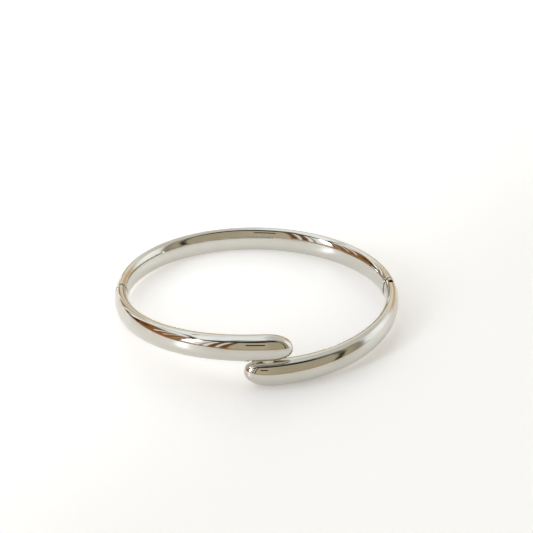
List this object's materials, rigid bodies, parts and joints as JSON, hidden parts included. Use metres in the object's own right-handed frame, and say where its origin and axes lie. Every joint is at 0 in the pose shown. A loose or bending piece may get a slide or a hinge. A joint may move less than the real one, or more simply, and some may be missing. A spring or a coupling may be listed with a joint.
{
  "type": "hinged crossover bangle bracelet",
  "caption": "Hinged oval bangle in polished metal, with a plain rear half and two front arms whose rounded tips pass one above the other.",
  "frame": {"origin": "centre of the oval wrist opening, at mid height of the plain band", "axes": "+X towards the hinge, +Y towards the plain rear band, +Z along the wrist, towards the side of the upper tip"},
  "size_m": [0.063, 0.0544, 0.0126],
  "materials": {
    "polished_metal": "high mirror polish, slightly warm silver",
    "fitting_metal": "satin, as machined",
    "braze": "plated over, slightly soft polish",
    "spring_steel": "bright drawn wire and ground ball"
  },
  "bodies": {
    "rear_half": {"rear_band": "polished_metal", "hinge_lug": "fitting_metal", "clasp_socket": "fitting_metal"},
    "front_half": {"lower_arm": "polished_metal", "upper_arm": "polished_metal", "crossover_braze": "braze", "hinge_pin": "fitting_metal", "clasp_tongue": "fitting_metal", "catch_spring": "spring_steel"},
    "catch": {"catch_ball": "spring_steel"}
  },
  "joints": [
    {"name": "front_hinge", "type": "hinge", "parent": "rear_half", "child": "front_half", "pos_m": [0.02999, 0.00073, 0], "axis": [0, 0, 1], "range_deg": [0, 50]},
    {"name": "catch_press", "type": "slide", "parent": "front_half", "child": "catch", "axis": [0, 0, -1], "range_m": [0, 0.00017], "stiffness_N_per_m": 800, "springref_m": -0.0003, "deforming": ["catch_spring"]}
  ]
}
